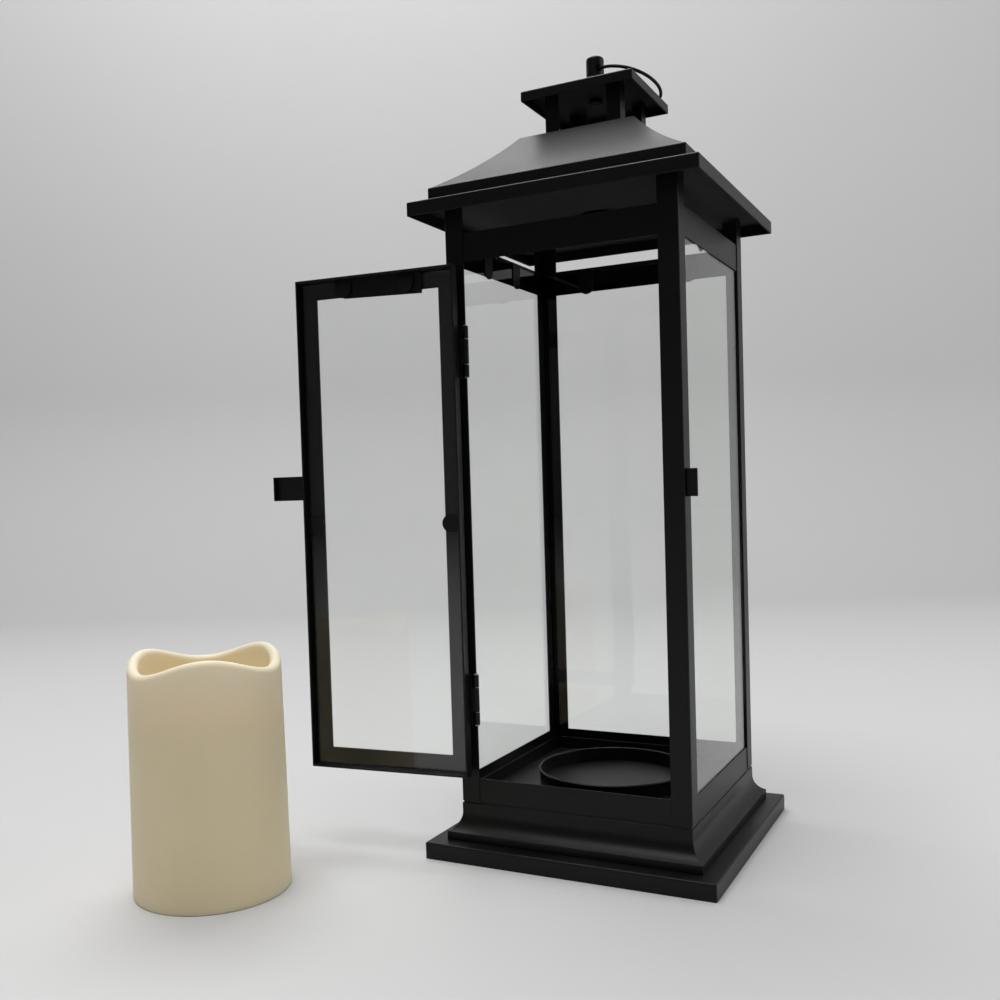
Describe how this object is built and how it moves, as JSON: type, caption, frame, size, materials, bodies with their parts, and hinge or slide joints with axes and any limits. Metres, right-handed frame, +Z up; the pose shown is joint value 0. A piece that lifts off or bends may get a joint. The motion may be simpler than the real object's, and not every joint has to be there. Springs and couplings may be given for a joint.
{
  "type": "candle lantern",
  "caption": "Square black metal candle lantern with glass walls, a hinged glass door, a tiered bell roof with a ring handle, and a flameless pillar candle standing beside it.",
  "frame": {"origin": "centre of the lantern's standing face", "axes": "+Z up, -Y out of the door's opening, +X to the right seen from the front"},
  "size_m": [0.2748, 0.2711, 0.43],
  "materials": {
    "black_paint": "satin black",
    "clear_glass": "clear",
    "ivory_wax": "ivory wax",
    "clear_lens": "frosted",
    "white_plastic": "matte",
    "cell_jacket": "plain jacket",
    "plated_steel": "plated",
    "circuit_board": "coated"
  },
  "bodies": {
    "lantern": {"base_cove": "black_paint", "base_plinth": "black_paint", "bell_roof": "black_paint", "bottom_rail_front": "black_paint", "bottom_rail_left": "black_paint", "bottom_rail_rear": "black_paint", "bottom_rail_right": "black_paint", "candle_cup": "black_paint", "cupola_cap": "black_paint", "cupola_post_front_left": "black_paint", "cupola_post_front_right": "black_paint", "cupola_post_rear_left": "black_paint", "cupola_post_rear_right": "black_paint", "eave_tray": "black_paint", "floor_pan": "black_paint", "glass_clips_left": "black_paint", "glass_clips_rear": "black_paint", "glass_clips_right": "black_paint", "glass_left": "clear_glass", "glass_rear": "clear_glass", "glass_right": "clear_glass", "hinge_pin_lower": "plated_steel", "hinge_pin_upper": "plated_steel", "hinge_post_leaf_lower": "black_paint", "hinge_post_leaf_upper": "black_paint", "knob": "black_paint", "knob_screw": "black_paint", "latch_catch": "black_paint", "post_front_left": "black_paint", "post_front_right": "black_paint", "post_rear_left": "black_paint", "post_rear_right": "black_paint", "roof_step": "black_paint", "top_rail_front": "black_paint", "top_rail_left": "black_paint", "top_rail_rear": "black_paint", "top_rail_right": "black_paint"},
    "door": {"door_frame": "black_paint", "door_glass": "clear_glass", "door_glass_clips": "black_paint", "hinge_door_leaf_lower": "black_paint", "hinge_door_leaf_upper": "black_paint", "latch_strip": "black_paint"},
    "ring": {"ring_handle": "black_paint"},
    "candle": {"candle_batteries": "cell_jacket", "candle_battery_cover": "white_plastic", "candle_board": "circuit_board", "candle_contacts": "plated_steel", "candle_flame": "clear_lens", "candle_housing": "white_plastic", "candle_shell": "ivory_wax"},
    "switch": {"candle_switch": "white_plastic"}
  },
  "joints": [
    {"name": "door_hinge", "type": "hinge", "parent": "lantern", "child": "door", "pos_m": [-0.0515, -0.0649, 0.178], "axis": [0, 0, 1], "range_deg": [-5, 174.5]},
    {"name": "ring_swing", "type": "hinge", "parent": "lantern", "child": "ring", "pos_m": [0, 0, 0.423], "axis": [0.7193, -0.6947, 0], "range_deg": [0, 139]},
    {"name": "candle_lift", "type": "slide", "parent": "lantern", "child": "candle", "axis": [0, 0, 1], "range_m": [0, 0.15]},
    {"name": "candle_switch_slide", "type": "slide", "parent": "candle", "child": "switch", "axis": [1, 0, 0], "range_m": [0, 0.004]}
  ]
}
